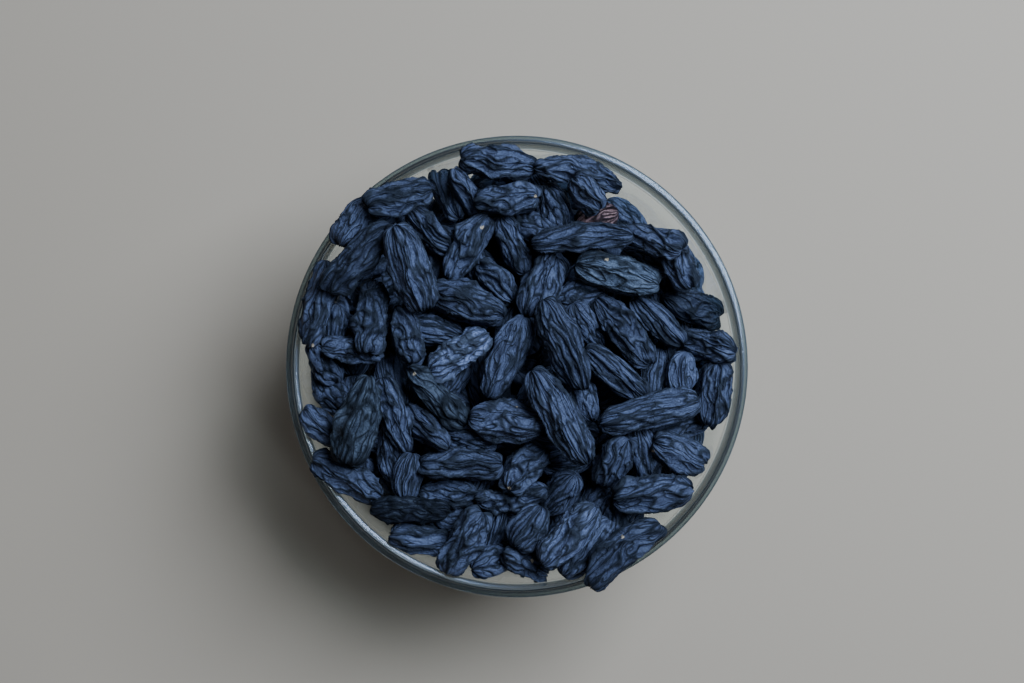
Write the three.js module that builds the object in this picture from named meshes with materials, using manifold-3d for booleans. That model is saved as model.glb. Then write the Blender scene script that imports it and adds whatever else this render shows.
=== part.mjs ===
// A small round glass bowl heaped with long black raisins.
// Millimetres, +Z up. The origin is on the table, under the middle of the bowl's foot.

import * as THREE from "three";
import { mergeVertices } from "three/addons/utils/BufferGeometryUtils.js";
import Module from "manifold-3d";

const wasm = await Module();
wasm.setup();

const degree = Math.PI / 180;
const halfTurn = 180; // in degrees, as all turns, tilts and bearings in the lists are
const weldDistance = 1e-3;

// The glass bowl
const bowl = {
  rimRadius: 60, // to the outside of the rim's bead
  height: 55,
  beadRadius: 1.75, // the wall ends in this rounded bead
  wall: 2.8,
  floorRadius: 22, // where the flat inside floor turns up into the wall
  floorHeight: 4,
  footInner: 19, // the ring that the bowl stands on
  footOuter: 26.5,
  footRecess: 1,
  footChamfer: 1,
  sides: 48,
};
// Round stretches of the bowl's section: the turn at which each begins and ends, in degrees, and its points
const stretch = { outside: [10, 84, 6], bead: [-30, 195, 6], inside: [82, 0, 7] };
const rimCentre = new THREE.Vector2(bowl.rimRadius - bowl.beadRadius, bowl.height - bowl.beadRadius);
const mouthRadius = 56.7; // the wall's inside, level with the middle of the bead

// The form of every raisin
const flatness = 0.8; // thickness as a share of the width
const endBluntness = 0.36; // an ellipsoid has 0.5; less makes blunter ends
const endBall = 0.66; // radius of the ball at a raisin's tip, as a share of its half thickness
const ballStations = [-1, -0.67, -0.33, 0, 0.33, 0.67, 1]; // where balls stand along a raisin
const taperMiddle = -0.35; // where along a tapered raisin its width is the listed one
const mostTwist = 20 * degree; // of the folds, from a raisin's middle to its tip
const dent = { depth: 0.05, wavesAlong: [2.6, 3.7], wavesRound: [2, 1] };
const skin = {
  crown: { sides: 12, rings: 6, foldDepth: 0.17 }, // fold depth as a share of the radius
  filling: { sides: 6, rings: 5, foldDepth: 0.06 },
};

// How raisins come to lie: slides in millimetres, tilts and rolls in degrees.
// gap is kept between the balls of two raisins; under 0 they press into one another, as soft raisins do.
const slide = 0.4;
const gentleTilts = [-24, -20, -16, -12, -8, -4, 0, 4, 8, 12, 16, 20, 24];
const lying = {
  filling: { slides: [[0, 0]], tilts: [-32, -20, -10, 0, 10, 20, 32], rolls: [0], gap: -1.15 },
  underCrown: { slides: [[0, 0]], tilts: gentleTilts, rolls: [0], gap: -1.15 },
  crown: {
    slides: [[0, 0], [slide, 0], [-slide, 0], [0, slide], [0, -slide]],
    tilts: gentleTilts,
    rolls: [-24, 0, 24],
    gap: 0.3,
  },
};
const tiltEffort = 0.5; // how unwillingly a raisin tilts
const glassGap = 0.6; // between a raisin's balls and the glass
const glassSpacing = 0.6; // between the points that stand for the glass
const neighbourMargin = 3;
const skinGap = 0.3; // left round each raisin of the crown when it has sunk to its place
const sinkStep = 0.1;
const sinkFrom = 1;

// The filling: raisins poured in up to a low dome
const filling = {
  seed: 20117,
  long: [17, 23],
  wide: [8.5, 11],
  spotsTried: 14, // for each raisin, of which it takes the deepest
  missesAllowed: 40, // in a row, before the bowl counts as full
  edgeHeight: 47.5, // of the dome, at domeRadius
  domeRise: 5.5,
  domeRadius: 54,
  alongWall: 38, // further out than this, raisins lie along the wall
  turnAtWall: [60, 120], // from the line that leads out to them, in degrees
  swell: 1.08, // of the width, which makes up for the few flat sides
  leastOutside: 110, // mm3 that a raisin stands out of the core; with less it is left out
};
// Bearings at which no raisin lies against the wall, so that the glass stays clear:
// the bearing and the spread to either side in degrees, and the distance from the axis that stays free
const clearWall = [
  { bearing: 50, spread: 14, beyond: 42 },
  { bearing: -83, spread: 7, beyond: 43 },
];
// The hidden middle that joins the filling's raisins, which stand out of it on every side
const core = { fromGlass: 3.6, belowDome: 7, sides: 24, wallSteps: 7, domeSteps: 5 };

// Raisins that show in part through the gaps of the crown, on top of the filling.
// x, y: the middle; turn: the long axis from +X towards +Y, in degrees; long, wide: the size.
const underCrown = [
  { x: -43.3, y: 15, turn: -62, long: 13, wide: 7 },
  { x: -47.6, y: 10, turn: 80, long: 14, wide: 7.5 },
  { x: -36, y: 37.5, turn: 40, long: 12, wide: 7 },
  { x: -40.8, y: -25.6, turn: -30, long: 13, wide: 7 },
  { x: 48.3, y: -2.8, turn: 65, long: 13, wide: 7 },
  { x: 6.5, y: 46.5, turn: -60, long: 12, wide: 7 },
  { x: 10, y: 41, turn: -65, long: 14, wide: 8 },
  { x: 4.5, y: 36, turn: -28, long: 14, wide: 7 },
  { x: 28.3, y: 38.6, turn: -45, long: 14, wide: 8 },
  { x: 40.6, y: 28.6, turn: -52, long: 14, wide: 8.5 },
  { x: 33.5, y: 27, turn: -25, long: 14, wide: 7 },
  { x: 16.5, y: 18.5, turn: 15, long: 14, wide: 7.5 },
  { x: 18, y: 10.5, turn: -60, long: 15, wide: 8 },
  { x: 35.3, y: -2, turn: 80, long: 14, wide: 7.5 },
  { x: 17.5, y: -8.5, turn: -70, long: 13, wide: 7 },
  { x: 41.5, y: -15.5, turn: 14, long: 18, wide: 8 },
  { x: 33, y: -22.5, turn: -78, long: 17, wide: 7.5 },
  { x: 13, y: -25, turn: 10, long: 13, wide: 7 },
  { x: 11, y: -33, turn: 50, long: 14, wide: 9 },
  { x: 25.5, y: -40, turn: 60, long: 14, wide: 8 },
  { x: 18, y: -47, turn: 48, long: 19, wide: 8 },
  { x: -6.5, y: -42.5, turn: 70, long: 12, wide: 7 },
  { x: -6.5, y: -51, turn: 20, long: 12, wide: 7.5 },
  { x: -16.5, y: -40, turn: 0, long: 13, wide: 6.5 },
  { x: -32.7, y: -23, turn: -80, long: 15, wide: 7.5 },
  { x: -28.3, y: -28.5, turn: 80, long: 12, wide: 7 },
  { x: -12, y: -18.5, turn: -10, long: 14, wide: 8 },
  { x: -49.5, y: -6, turn: -62, long: 14, wide: 7.5 },
  { x: -50.3, y: 1.5, turn: -62, long: 13.5, wide: 7.5 },
  { x: -20.5, y: 9, turn: -15, long: 14, wide: 7.5 },
];

// The crown: every raisin that shows well from above, in the order in which they came to lie there.
// bend: how far the middle bows sideways; taper: how much wider the first end is.
const crown = [
  { x: 46.2, y: 15.6, turn: -19, long: 17, wide: 9 },
  { x: -4.8, y: 53, turn: -8, long: 19.5, wide: 9.2 },
  { x: -41.8, y: 37, turn: 55, long: 14, wide: 10 },
  { x: -18.5, y: 45, turn: -65, long: 15, wide: 7.5 },
  { x: -50.6, y: 16.5, turn: 78, long: 22, wide: 7.8, bend: -1.2 },
  { x: -43, y: 4.5, turn: -5, long: 15.5, wide: 8 },
  { x: -0.8, y: 31.5, turn: -65, long: 16, wide: 7.5 },
  { x: 20.5, y: 39, turn: 20, long: 11.5, wide: 7.5 },
  { x: 41.5, y: 26, turn: -60, long: 12.5, wide: 8.5 },
  { x: 49.9, y: 5.5, turn: -17, long: 16, wide: 8.2 },
  { x: 51, y: -6.8, turn: 82, long: 16, wide: 9.8 },
  { x: 42.5, y: -1, turn: 75, long: 11, wide: 9 },
  { x: 37, y: 11.5, turn: -43, long: 17, wide: 8.5 },
  { x: 1.5, y: -51, turn: -28, long: 13, wide: 7.4 },
  { x: -25.4, y: -45.7, turn: -12, long: 15.5, wide: 8.4 },
  { x: -51, y: -15, turn: -38, long: 12, wide: 7.5 },
  { x: -18.3, y: -32.8, turn: -2, long: 15, wide: 6.5 },
  { x: -6, y: 21.8, turn: -50, long: 13, wide: 8 },
  { x: 15.5, y: 50, turn: -13, long: 22.5, wide: 8, bend: 1.8 },
  { x: -28.5, y: 8.5, turn: -80, long: 15, wide: 8 },
  { x: -44.5, y: -29, turn: -28, long: 20, wide: 8.5 },
  { x: -28.3, y: -37.3, turn: -6, long: 20, wide: 7.5 },
  { x: -13, y: 45.5, turn: -62, long: 15, wide: 7 },
  { x: 35.5, y: 32, turn: -20, long: 15, wide: 8 },
  { x: -40.9, y: 27.9, turn: 47, long: 23.4, wide: 9.4 },
  { x: 25.3, y: -1.5, turn: -38, long: 20, wide: 9 },
  { x: 25.5, y: -24.6, turn: 58, long: 15, wide: 9.8 },
  { x: 41.7, y: -22.3, turn: -25, long: 15.5, wide: 9.8 },
  { x: -1, y: -34.5, turn: 8, long: 18.5, wide: 6.8, bend: -2 },
  { x: 3, y: -42, turn: 60, long: 12.5, wide: 9 },
  { x: -13.5, y: -46, turn: 60, long: 18, wide: 10.5 },
  { x: -23, y: -16, turn: -40, long: 15.5, wide: 7.7 },
  { x: -23, y: 35.5, turn: -45, long: 15, wide: 7 },
  { x: 35.3, y: -32.9, turn: 5, long: 20.5, wide: 10.6 },
  { x: 6.5, y: 20.8, turn: 65, long: 16.5, wide: 11.2 },
  { x: 17.8, y: 44.8, turn: -50, long: 10.5, wide: 8 },
  { x: 13.8, y: -43.5, turn: 48, long: 20, wide: 10 },
  { x: -2.5, y: 43.8, turn: 3, long: 16, wide: 8.8 },
  { x: -30.4, y: 43, turn: 20, long: 17.5, wide: 9.2 },
  { x: -37.4, y: 12.7, turn: 86, long: 20, wide: 8.6 },
  { x: -12.8, y: 31.5, turn: 57, long: 19, wide: 9 },
  { x: -15, y: 4, turn: 33, long: 17.5, wide: 8.8 },
  { x: -31.4, y: -12.5, turn: -72, long: 20, wide: 7.7, taper: 0.16 },
  { x: -41.3, y: -13.6, turn: 76, long: 23, wide: 13, taper: 0.24 },
  { x: -14.5, y: -25, turn: 2, long: 21, wide: 9 },
  { x: 1.5, y: -26.4, turn: 55, long: 14.5, wide: 10 },
  { x: -2, y: -14.3, turn: -6, long: 20, wide: 10.5 },
  { x: 25.8, y: 23.7, turn: -13, long: 22, wide: 10.5 },
  { x: 27, y: -47.2, turn: 42, long: 24, wide: 10, bend: 2.4 },
  { x: 34.3, y: -12, turn: 12, long: 25.5, wide: 9.5 },
  { x: -12.8, y: 17, turn: -22, long: 20, wide: 10.5 },
  { x: 17, y: 33.2, turn: 5, long: 26, wide: 7.6, bend: 0.9 },
  { x: -27.8, y: 25.5, turn: -70, long: 24, wide: 11.5 },
  { x: 11.7, y: 6.2, turn: -66, long: 25, wide: 10 },
  { x: -3.2, y: 2.3, turn: 66, long: 23.5, wide: 10 },
  { x: 10.5, y: -12.7, turn: -59, long: 27.5, wide: 10.8 },
  { x: 27.8, y: 9.5, turn: -50, long: 22, wide: 9.3 },
  { x: -21.3, y: -8, turn: -45, long: 20.5, wide: 7.8 },
];

// Numbers from 0 to 1 that come out the same in every run.
function seededDraw(seed) {
  const multiplier = 48271;
  const modulus = 2147483647;
  let state = seed;
  return () => {
    state = (state * multiplier) % modulus;
    return state / modulus;
  };
}

const between = ([low, high], share) => low + (high - low) * share;

function steps(from, to, count) {
  return Array.from({ length: count }, (_, i) => from + ((to - from) * i) / (count - 1));
}

const turnsOf = ([from, to, count]) => steps(from * degree, to * degree, count);

// The inside of the wall is a quarter ellipse, from the floor's edge at turn 0 to the mouth at 90 degrees.
// outwards moves the point square to the surface, into the glass.
function wallPoint(turn, outwards = 0) {
  const across = mouthRadius - bowl.floorRadius;
  const up = rimCentre.y - bowl.floorHeight;
  const normal = new THREE.Vector2(Math.sin(turn) / across, -Math.cos(turn) / up).normalize();
  return new THREE.Vector2(
    bowl.floorRadius + across * Math.sin(turn),
    rimCentre.y - up * Math.cos(turn),
  ).addScaledVector(normal, outwards);
}

function footSection() {
  return [
    new THREE.Vector2(0, bowl.footRecess),
    new THREE.Vector2(bowl.footInner - bowl.footChamfer, bowl.footRecess),
    new THREE.Vector2(bowl.footInner, 0),
    new THREE.Vector2(bowl.footOuter, 0),
  ];
}

function beadSection() {
  return turnsOf(stretch.bead).map((turn) =>
    new THREE.Vector2(Math.cos(turn), Math.sin(turn)).multiplyScalar(bowl.beadRadius).add(rimCentre),
  );
}

function insideSection() {
  const wall = turnsOf(stretch.inside).map((turn) => wallPoint(turn));
  return [...wall, new THREE.Vector2(0, bowl.floorHeight)];
}

function bowlGeometry() {
  const outside = turnsOf(stretch.outside).map((turn) => wallPoint(turn, bowl.wall));
  const section = [...footSection(), ...outside, ...beadSection(), ...insideSection()];
  return new THREE.LatheGeometry(section, bowl.sides).rotateX(Math.PI / 2);
}

// The glass that a raisin can come to rest on, as closely spaced points of the section.
function glassPoints() {
  const section = [...beadSection(), ...insideSection()];
  return section.slice(1).flatMap((end, i) => {
    const start = section[i];
    const pieces = Math.ceil(start.distanceTo(end) / glassSpacing);
    return steps(0, 1, pieces + 1).map((share) => start.clone().lerp(end, share));
  });
}

// A raisin's half width and half thickness at a place from -1 to 1 along it, as a share of the largest.
const girth = (along) => Math.pow(Math.max(0, 1 - along * along), endBluntness);
const bow = (raisin, along) => (raisin.bend ?? 0) * (1 / 3 - along * along);
const swell = (raisin, along) => 1 - (raisin.taper ?? 0) * (along - taperMiddle);

// A raisin's long, wide and thick directions when it is turned, tilted and rolled.
function axesOf({ turn, tilt, roll }) {
  const long = new THREE.Vector3(
    Math.cos(turn * degree) * Math.cos(tilt * degree),
    Math.sin(turn * degree) * Math.cos(tilt * degree),
    Math.sin(tilt * degree),
  );
  const level = new THREE.Vector3(-Math.sin(turn * degree), Math.cos(turn * degree), 0);
  const upright = new THREE.Vector3().crossVectors(long, level);
  const wide = level
    .multiplyScalar(Math.cos(roll * degree))
    .addScaledVector(upright, Math.sin(roll * degree));
  return { long, wide, thick: new THREE.Vector3().crossVectors(long, wide) };
}

// Balls that together fill a raisin's outline, measured from its middle: two side by side at each station.
function ballsOf(raisin, pose) {
  const { long, wide } = axesOf(pose);
  const half = raisin.long / 2;
  const halfThick = (raisin.wide * flatness) / 2;
  const reach = half - endBall * halfThick;
  return ballStations.flatMap((station) => {
    const along = (station * reach) / half;
    const share = girth(along) * swell(raisin, along);
    const radius = Math.min(halfThick * share, half - Math.abs(station) * reach);
    const aside = (raisin.wide / 2 - halfThick) * share;
    return [-aside, aside].map((offset) => {
      const centre = long.clone().multiplyScalar(station * reach);
      centre.addScaledVector(wide, offset + bow(raisin, along));
      return { centre, radius };
    });
  });
}

const glass = glassPoints();
const laid = []; // the raisins that already lie in the bowl, with their balls

// How high a raisin's middle comes to rest when it sinks straight down at x, y in this pose.
function restingHeight(raisin, pose, x, y, gap) {
  const near = laid
    .filter((other) => Math.hypot(other.x - x, other.y - y) < (other.long + raisin.long) / 2 + neighbourMargin)
    .flatMap((other) => other.balls);
  let height = -Infinity;
  for (const ball of ballsOf(raisin, pose)) {
    const [bx, by] = [x + ball.centre.x, y + ball.centre.y];
    const fromAxis = Math.hypot(bx, by);
    for (const point of glass) {
      const rise = (ball.radius + glassGap) ** 2 - (fromAxis - point.x) ** 2;
      if (rise > 0) height = Math.max(height, point.y + Math.sqrt(rise) - ball.centre.z);
    }
    for (const { centre, radius } of near) {
      const rise = (ball.radius + radius + gap) ** 2 - (bx - centre.x) ** 2 - (by - centre.y) ** 2;
      if (rise > 0) height = Math.max(height, centre.z + Math.sqrt(rise) - ball.centre.z);
    }
  }
  return height;
}

// Of the poses that it could take, a raisin settles in the one that lets its middle sink lowest,
// but it tilts only as far as that is worth it.
function settle(raisin, { slides, tilts, rolls, gap }) {
  let best = { effort: Infinity };
  for (const [dx, dy] of slides) {
    for (const tilt of tilts) {
      for (const roll of rolls) {
        const [x, y] = [raisin.x + dx, raisin.y + dy];
        const z = restingHeight(raisin, { turn: raisin.turn, tilt, roll }, x, y, gap);
        const effort = z + tiltEffort * (raisin.long / 2) * Math.abs(Math.sin(tilt * degree));
        if (effort < best.effort) best = { ...raisin, x, y, z, tilt, roll, effort };
      }
    }
  }
  return best;
}

function layDown(raisin) {
  const middle = new THREE.Vector3(raisin.x, raisin.y, raisin.z);
  const balls = ballsOf(raisin, raisin).map(({ centre, radius }) => ({ centre: centre.add(middle), radius }));
  laid.push({ ...raisin, balls });
  return raisin;
}

const domeHeight = (fromAxis) =>
  filling.edgeHeight + filling.domeRise * (1 - (fromAxis / filling.domeRadius) ** 2);

const isClear = (fromAxis, bearing) =>
  clearWall.some((part) => fromAxis > part.beyond && Math.abs(bearing - part.bearing) < part.spread);

// A raisin of this size dropped at a random spot, or null where the wall stays clear.
function dropAtRandom(size, draw) {
  const fromAxis = (mouthRadius - size.wide / 2) * Math.sqrt(draw());
  const bearing = halfTurn * (2 * draw() - 1);
  const share = draw();
  const turn = fromAxis < filling.alongWall ? halfTurn * share : bearing + between(filling.turnAtWall, share);
  if (isClear(fromAxis, bearing)) return null;
  const [x, y] = [fromAxis * Math.cos(bearing * degree), fromAxis * Math.sin(bearing * degree)];
  const raisin = settle({ ...size, x, y, turn }, lying.filling);
  return { ...raisin, belowDome: domeHeight(fromAxis) - raisin.z };
}

// Raisins poured in one by one, each into the deepest hollow that it finds, until the dome is full.
function pourFilling() {
  const draw = seededDraw(filling.seed);
  const poured = [];
  let misses = 0;
  while (misses < filling.missesAllowed) {
    const size = { long: between(filling.long, draw()), wide: between(filling.wide, draw()) };
    const found = Array.from({ length: filling.spotsTried }, () => dropAtRandom(size, draw)).filter(Boolean);
    const deepest = found.sort((a, b) => b.belowDome - a.belowDome)[0];
    if (deepest.belowDome > size.wide / 2) {
      poured.push(layDown(deepest));
      misses = 0;
    } else {
      misses += 1;
    }
  }
  return poured;
}

// The same surface with positions only, and each shared vertex kept once.
function plainCopy(geometry) {
  const plain = geometry.clone();
  plain.deleteAttribute("normal");
  plain.deleteAttribute("uv");
  return mergeVertices(plain, weldDistance);
}

// How a raisin's folds twist and where its dents lie.
function drawLook(draw) {
  const twist = mostTwist * (2 * draw() - 1);
  const phases = [draw(), draw(), draw()].map((share) => 2 * Math.PI * share);
  return { twist, phases };
}

// A raisin's skin about its own middle, long axis along X: a sphere drawn out to blunt ends, pinched into
// ridges and grooves that twist round it, and dented a little. grown makes it larger on every side.
function raisinGeometry(raisin, { sides, rings, foldDepth }, look, grown = 0) {
  const geometry = new THREE.SphereGeometry(1, sides, rings).rotateZ(-Math.PI / 2);
  const position = geometry.getAttribute("position");
  const [phaseA, phaseB, phaseC] = look.phases;
  for (let i = 0; i < position.count; i++) {
    const along = position.getX(i);
    const side = Math.atan2(position.getZ(i), position.getY(i));
    const ring = Math.hypot(position.getY(i), position.getZ(i));
    const groove = foldDepth * ring * (0.5 - 0.5 * Math.cos((sides / 2) * side));
    const wave =
      Math.sin(dent.wavesAlong[0] * along + phaseA) * Math.cos(dent.wavesRound[0] * side + phaseB) +
      Math.sin(dent.wavesAlong[1] * along + dent.wavesRound[1] * side + phaseC);
    const dented = dent.depth * ring * Math.abs(wave);
    const share = ring < weldDistance ? 0 : girth(along) * swell(raisin, along) * (1 - groove - dented);
    const turned = side + look.twist * along;
    position.setXYZ(
      i,
      (raisin.long / 2 + grown) * along,
      (raisin.wide / 2 + grown) * share * Math.cos(turned) + bow(raisin, along),
      ((raisin.wide * flatness) / 2 + grown) * share * Math.sin(turned),
    );
  }
  return plainCopy(geometry);
}

function placeOf(raisin) {
  const { long, wide, thick } = axesOf(raisin);
  return new THREE.Matrix4().makeBasis(long, wide, thick).setPosition(raisin.x, raisin.y, raisin.z);
}

function solidOf(geometry) {
  const vertProperties = new Float32Array(geometry.getAttribute("position").array);
  const triVerts = new Uint32Array(geometry.index.array);
  return new wasm.Manifold(new wasm.Mesh({ numProp: 3, vertProperties, triVerts }));
}

function geometryOf(solid) {
  const mesh = solid.getMesh();
  const geometry = new THREE.BufferGeometry();
  geometry.setAttribute("position", new THREE.BufferAttribute(mesh.vertProperties, 3));
  geometry.setIndex(new THREE.BufferAttribute(mesh.triVerts, 1));
  geometry.computeVertexNormals();
  return geometry;
}

function coreSolid() {
  const top = (fromAxis) => domeHeight(fromAxis) - core.belowDome;
  const side = steps(0, 90 * degree, core.wallSteps)
    .map((turn) => wallPoint(turn, -core.fromGlass))
    .filter((point) => point.y < top(point.x));
  const edge = side[side.length - 1].x;
  const section = [
    new THREE.Vector2(0, bowl.floorHeight + core.fromGlass),
    ...side,
    ...steps(edge, 0, core.domeSteps).map((fromAxis) => new THREE.Vector2(fromAxis, top(fromAxis))),
  ];
  return solidOf(plainCopy(new THREE.LatheGeometry(section, core.sides).rotateX(Math.PI / 2)));
}

// The filling in one piece: its raisins are pressed together and stand out of the core.
function fillingSolid(raisins) {
  const draw = seededDraw(filling.seed + 1);
  const middle = coreSolid();
  const skins = raisins.map((raisin) => {
    const swollen = { ...raisin, wide: raisin.wide * filling.swell };
    return solidOf(raisinGeometry(swollen, skin.filling, drawLook(draw)).applyMatrix4(placeOf(raisin)));
  });
  const outside = skins.filter((solid) => solid.subtract(middle).volume() > filling.leastOutside);
  const joined = outside.reduce((whole, solid) => whole.add(solid), middle);
  return joined.decompose().sort((a, b) => b.volume() - a.volume())[0];
}

// The balls of a raisin are a little larger than its folded skin, so each raisin of the crown sinks on
// from where its balls touch, until its skin is skinGap away from something.
function crownShapes(bowlSolid, fillingBelow) {
  const draw = seededDraw(filling.seed + 2);
  const solids = [bowlSolid, fillingBelow];
  return crown.map((raisin) => {
    const settled = settle(raisin, lying.crown);
    const look = drawLook(draw);
    const shape = raisinGeometry(raisin, skin.crown, look);
    const grown = raisinGeometry(raisin, skin.crown, look, skinGap);
    const touchesAt = (z) => {
      const solid = solidOf(grown.clone().applyMatrix4(placeOf({ ...settled, z })));
      return solids.some((other) => solid.intersect(other).volume() > 0);
    };
    let z = settled.z + sinkFrom;
    while (!touchesAt(z - sinkStep)) z -= sinkStep;
    const place = placeOf(layDown({ ...settled, z }));
    solids.push(solidOf(shape.clone().applyMatrix4(place)));
    return { shape, place };
  });
}

const clearGlass = new THREE.MeshStandardMaterial({
  color: 0xc4d4d2,
  roughness: 0.05,
  metalness: 0,
  transparent: true,
  opacity: 0.35,
});
const raisinSkin = new THREE.MeshStandardMaterial({ color: 0x1c2336, roughness: 0.55, metalness: 0 });

function named(name, geometry, material) {
  const mesh = new THREE.Mesh(geometry, material);
  mesh.name = name;
  return mesh;
}

const bowlShape = bowlGeometry();
const poured = pourFilling();
const underneath = underCrown.map((raisin) => layDown(settle(raisin, lying.underCrown)));
const filled = fillingSolid([...poured, ...underneath]);

const heapedBowl = new THREE.Group();
heapedBowl.add(named("glass_bowl", bowlShape, clearGlass));
heapedBowl.add(named("raisin_filling", geometryOf(filled), raisinSkin));
crownShapes(solidOf(plainCopy(bowlShape)), filled).forEach(({ shape, place }, i) => {
  const mesh = named(`crown_raisin_${String(i + 1).padStart(2, "0")}`, shape, raisinSkin);
  mesh.applyMatrix4(place);
  heapedBowl.add(mesh);
});

export default heapedBowl;
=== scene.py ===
"""A small glass bowl heaped with long black raisins, seen from straight above.

Lengths are in millimetres up to the point where a mesh is made, then in metres.
"""

import math
from functools import partial

import bmesh
import bpy
import numpy as np
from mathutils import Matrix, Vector, noise


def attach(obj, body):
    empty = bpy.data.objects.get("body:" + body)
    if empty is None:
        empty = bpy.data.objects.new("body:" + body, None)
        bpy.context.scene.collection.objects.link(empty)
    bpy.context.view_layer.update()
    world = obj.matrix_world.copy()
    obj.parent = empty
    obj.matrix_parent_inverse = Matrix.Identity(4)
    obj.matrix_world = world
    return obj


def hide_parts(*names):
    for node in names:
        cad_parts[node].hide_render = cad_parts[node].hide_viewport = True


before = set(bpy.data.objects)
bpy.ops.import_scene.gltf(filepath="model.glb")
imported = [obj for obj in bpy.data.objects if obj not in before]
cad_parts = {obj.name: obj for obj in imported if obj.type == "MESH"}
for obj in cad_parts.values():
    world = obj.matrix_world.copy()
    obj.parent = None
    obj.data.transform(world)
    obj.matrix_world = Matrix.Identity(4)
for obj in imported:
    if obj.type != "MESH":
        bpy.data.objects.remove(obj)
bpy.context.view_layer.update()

MM = 0.001
DEGREE = math.pi / 180
TURN = 2 * math.pi
HALF_TURN = 180  # in degrees, as all turns, tilts and bearings in the lists are
RIGHT_ANGLE = 90
WELD = 1e-6  # in metres: vertices closer together than this are merged

# The camera of the photograph: straight above, a little off the bowl's axis
CAMERA_PLACE = (-1.3, 6.5, 555)
CAMERA_LENS = 67.8
SENSOR_WIDTH = 36

# Light and floor. Places and sizes in metres.
WINDOWS = (0.6, 0.5, 0.75)  # the direction from which most of the light comes
LAMP_PLACE = (0.46, 0.39, 0.78)
LAMP_SIZE = 0.64
LAMP_POWER = 21
LAMP_COLOUR = (0.77, 0.87, 1)
ROOM_BY_WINDOWS = (1.2, 1.4, 1.8, 1)
ROOM_ACROSS = (1, 0.82, 0.57, 1)
TOWARDS_WINDOWS = ((0.4, 0), (0.95, 1))
ROOM_BY_HEIGHT = ((0.15, 1), (0.6, 0.3))  # how bright the room is, from near the floor to overhead
ROOM_STRENGTH = 0.24
FLOOR_HALF_WIDTH = 3
FLOOR_COLOUR = (0.34, 0.296, 0.242, 1)
FLOOR_ROUGHNESS = 0.7

# The glass bowl, with the sizes of its CAD solid
RIM_RADIUS = 60
BOWL_HEIGHT = 55
BEAD_RADIUS = 1.75
WALL = 2.8
FLOOR_RADIUS = 22
FLOOR_HEIGHT = 4
FOOT_INNER = 19
FOOT_OUTER = 26.5
FOOT_RECESS = 1
FOOT_ROUND = 1
MOUTH_RADIUS = 56.7
BEAD_MIDDLE = (RIM_RADIUS - BEAD_RADIUS, BOWL_HEIGHT - BEAD_RADIUS)
SOLID_BEAD = (-30, 195, 6)  # the CAD solid's arcs: from, to, points
SOLID_INSIDE = (82, 7)  # from, points

# The finer bowl
BOWL_SEGMENTS = 144
OUTSIDE = (10, 86, 40)  # stretch of the wall: from, to, points
INSIDE = (84, 40)  # from, points
RIM_TOP = 3  # radius of the arc over the rim
RIM_TOP_POINTS = 11
RIM_CORNER = 0.6  # radius of the tighter arcs beside it
RIM_CORNER_POINTS = 9
RIM_OUTER_FLANK = (-50, 0, 6)
RIM_INNER_FLANK = (180, 215, 5)
RIM_LOWER_EDGE = 51  # height at which the glass starts to look like the rim's
FOOT_ARC = (0.2, math.pi / 2, 5)  # of the foot's inner edge: from, to, points
FOOT_BEVEL = (0.4, 0.12)  # of its outer edge: width, height

# The form that every raisin shares with its CAD solid
FLATNESS = 0.8
END_BLUNTNESS = 0.36
END_BALL = 0.66
BALL_STATIONS = (-1, -0.67, -0.33, 0, 0.33, 0.67, 1)

# How the filling was poured: the same numbers and draws as for its CAD solid
POUR_SEED = 20117
POURED_LONG = (17, 23)
POURED_WIDE = (8.5, 11)
SPOTS_TRIED = 14
MISSES_ALLOWED = 40
EDGE_HEIGHT = 47.5
DOME_RISE = 5.5
DOME_RADIUS = 54
ALONG_WALL = 38
TURN_AT_WALL = (60, 120)
CLEAR_WALL = ((50, 14, 42), (-83, 7, 43))
POURED_TILTS = (-32, -20, -10, 0, 10, 20, 32)
GENTLE_TILTS = tuple(range(-24, 25, 4))
PRESSED = -1.15
TILT_EFFORT = 0.5
GLASS_GAP = 0.6
GLASS_SPACING = 0.6
REACH_MARGIN = 3
FILLING_SWELL = 1.12
SEEN_DEPTH = 9  # how far below the dome a raisin of the filling still shows
WALL_LAYER = 9  # how far from the glass it still shows
INSIDE_DEPTH = 42  # from the rim down to where the filling hides all that lies under it

# Raisins that show in part through the gaps of the crown: x, y, turn, long, wide
UNDER_CROWN = (
    (-43.3, 15, -62, 13, 7), (-47.6, 10, 80, 14, 7.5), (-36, 37.5, 40, 12, 7), (-40.8, -25.6, -30, 13, 7),
    (48.3, -2.8, 65, 13, 7), (6.5, 46.5, -60, 12, 7), (10, 41, -65, 14, 8), (4.5, 36, -28, 14, 7),
    (28.3, 38.6, -45, 14, 8), (40.6, 28.6, -52, 14, 8.5), (33.5, 27, -25, 14, 7), (16.5, 18.5, 15, 14, 7.5),
    (18, 10.5, -60, 15, 8), (35.3, -2, 80, 14, 7.5), (17.5, -8.5, -70, 13, 7), (41.5, -15.5, 14, 18, 8),
    (33, -22.5, -78, 17, 7.5), (13, -25, 10, 13, 7), (11, -33, 50, 14, 9), (25.5, -40, 60, 14, 8),
    (18, -47, 48, 19, 8), (-6.5, -42.5, 70, 12, 7), (-6.5, -51, 20, 12, 7.5), (-16.5, -40, 0, 13, 6.5),
    (-32.7, -23, -80, 15, 7.5), (-28.3, -28.5, 80, 12, 7), (-12, -18.5, -10, 14, 8),
    (-49.5, -6, -62, 14, 7.5), (-50.3, 1.5, -62, 13.5, 7.5), (-20.5, 9, -15, 14, 7.5),
)

# The crown's CAD solids: 12 points round each of 5 rings, and a tip at either end
CROWN_COUNT = 58
RING_POINTS = 12
RINGS = 5
KEPT_PLEAT = 0.6  # share of the solids' regular pleats that the finer skin keeps

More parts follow.
